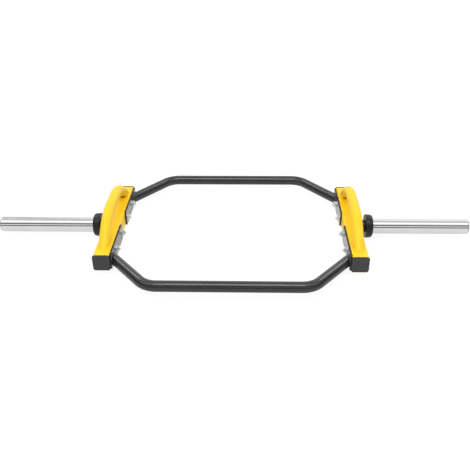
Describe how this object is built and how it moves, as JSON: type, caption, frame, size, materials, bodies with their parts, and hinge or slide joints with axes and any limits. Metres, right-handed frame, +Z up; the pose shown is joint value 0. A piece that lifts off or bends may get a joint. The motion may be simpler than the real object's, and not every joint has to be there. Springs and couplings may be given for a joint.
{
  "type": "hex trap bar",
  "caption": "Hexagonal lifting bar of bent steel tube with bowed raised handles on square side beams and turning chromed loading sleeves.",
  "frame": {"origin": "on the floor, under the centre of the hexagon, with the bar lying level on its collars", "axes": "+X along the loading sleeves to the right, +Y from the front of the hexagon to its rear, +Z up, the way the handles are raised"},
  "size_m": [1.5552, 0.7236, 0.1468],
  "materials": {
    "yellow_coat": "glossy powder coat",
    "black_coat": "satin powder coat",
    "black_plastic": "fine moulded grain",
    "black_rubber": "smooth, slightly shiny on the rims",
    "chrome": "polished",
    "dark_steel": "black oxide, turned",
    "bright_zinc": "bright zinc plate",
    "bronze": "sintered"
  },
  "bodies": {
    "frame": {"front_tube": "black_coat", "rear_tube": "black_coat", "front_left_plate": "black_coat", "front_left_cap": "black_plastic", "front_right_plate": "black_coat", "front_right_cap": "black_plastic", "rear_left_plate": "black_coat", "rear_left_cap": "black_plastic", "rear_right_plate": "black_coat", "rear_right_cap": "black_plastic", "left_beam": "yellow_coat", "left_handle": "yellow_coat", "left_axle": "dark_steel", "left_thrust_washer": "dark_steel", "left_outer_washer": "dark_steel", "left_snap_ring": "dark_steel", "right_beam": "yellow_coat", "right_handle": "yellow_coat", "right_axle": "dark_steel", "right_thrust_washer": "dark_steel", "right_outer_washer": "dark_steel", "right_snap_ring": "dark_steel", "bolts": "bright_zinc", "nuts": "bright_zinc", "washers": "bright_zinc"},
    "left_sleeve_unit": {"left_sleeve": "chrome", "left_collar": "black_rubber", "left_inner_bush": "bronze", "left_outer_bush": "bronze", "left_sleeve_plug": "black_plastic"},
    "right_sleeve_unit": {"right_sleeve": "chrome", "right_collar": "black_rubber", "right_inner_bush": "bronze", "right_outer_bush": "bronze", "right_sleeve_plug": "black_plastic"}
  },
  "joints": [
    {"name": "left_sleeve_spin", "type": "hinge", "parent": "frame", "child": "left_sleeve_unit", "pos_m": [-0.6191, 0, 0.039], "axis": [1, 0, 0], "continuous": true},
    {"name": "right_sleeve_spin", "type": "hinge", "parent": "frame", "child": "right_sleeve_unit", "pos_m": [0.6191, 0, 0.039], "axis": [1, 0, 0], "continuous": true}
  ]
}
